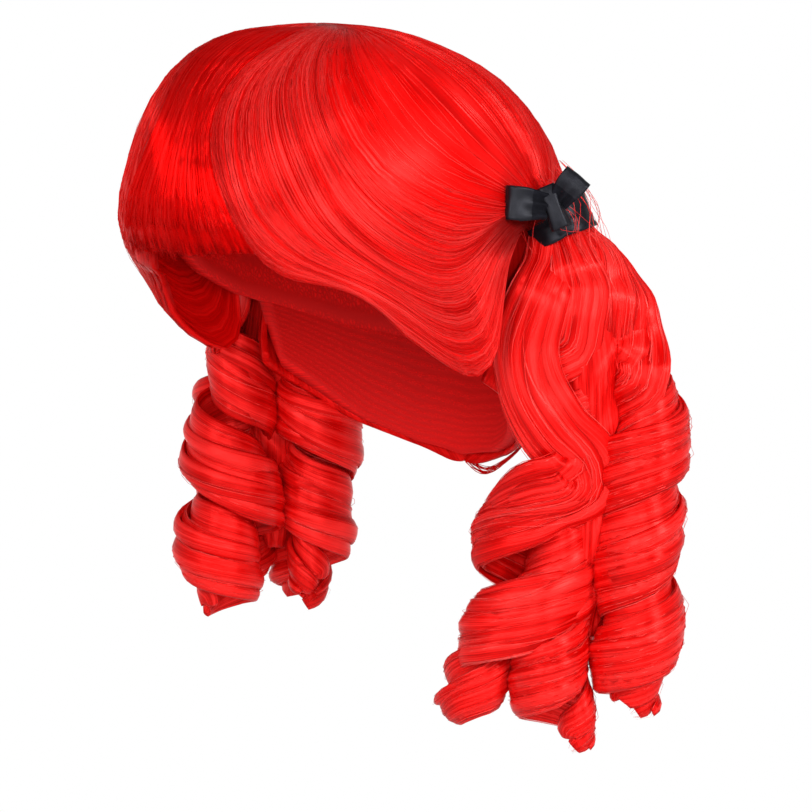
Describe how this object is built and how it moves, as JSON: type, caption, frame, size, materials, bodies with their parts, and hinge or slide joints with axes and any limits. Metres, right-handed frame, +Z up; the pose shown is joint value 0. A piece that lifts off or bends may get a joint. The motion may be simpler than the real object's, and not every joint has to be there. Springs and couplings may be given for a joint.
{
  "type": "wig",
  "caption": "Costume wig: hollow cap of smooth hair with a full rounded fringe, temple hair swept back, and side ponytails of long corkscrew ringlets tied with satin ribbon bows.",
  "frame": {"origin": "inside top of the cap, where it sits on the crown of the head", "axes": "+Z up, the wearer faces -Y, the wearer's left is +X"},
  "size_m": [0.2978, 0.2296, 0.3402],
  "materials": {
    "hair": "glossy synthetic hair fibre, bright red",
    "ribbon": "black satin ribbon"
  },
  "bodies": {
    "root": {"crown": "hair", "fringe": "hair", "side_sweep_left": "hair", "side_sweep_right": "hair", "nape_hair": "hair", "gather_left": "hair", "gather_right": "hair", "ringlet_left_1": "hair", "ringlet_left_2": "hair", "ringlet_left_3": "hair", "ringlet_left_4": "hair", "ringlet_right_1": "hair", "ringlet_right_2": "hair", "ringlet_right_3": "hair", "ringlet_right_4": "hair", "ribbon_band_left": "ribbon", "bow_knot_left": "ribbon", "bow_loop_front_left": "ribbon", "bow_loop_back_left": "ribbon", "ribbon_band_right": "ribbon", "bow_knot_right": "ribbon", "bow_loop_front_right": "ribbon", "bow_loop_back_right": "ribbon"}
  },
  "joints": []
}
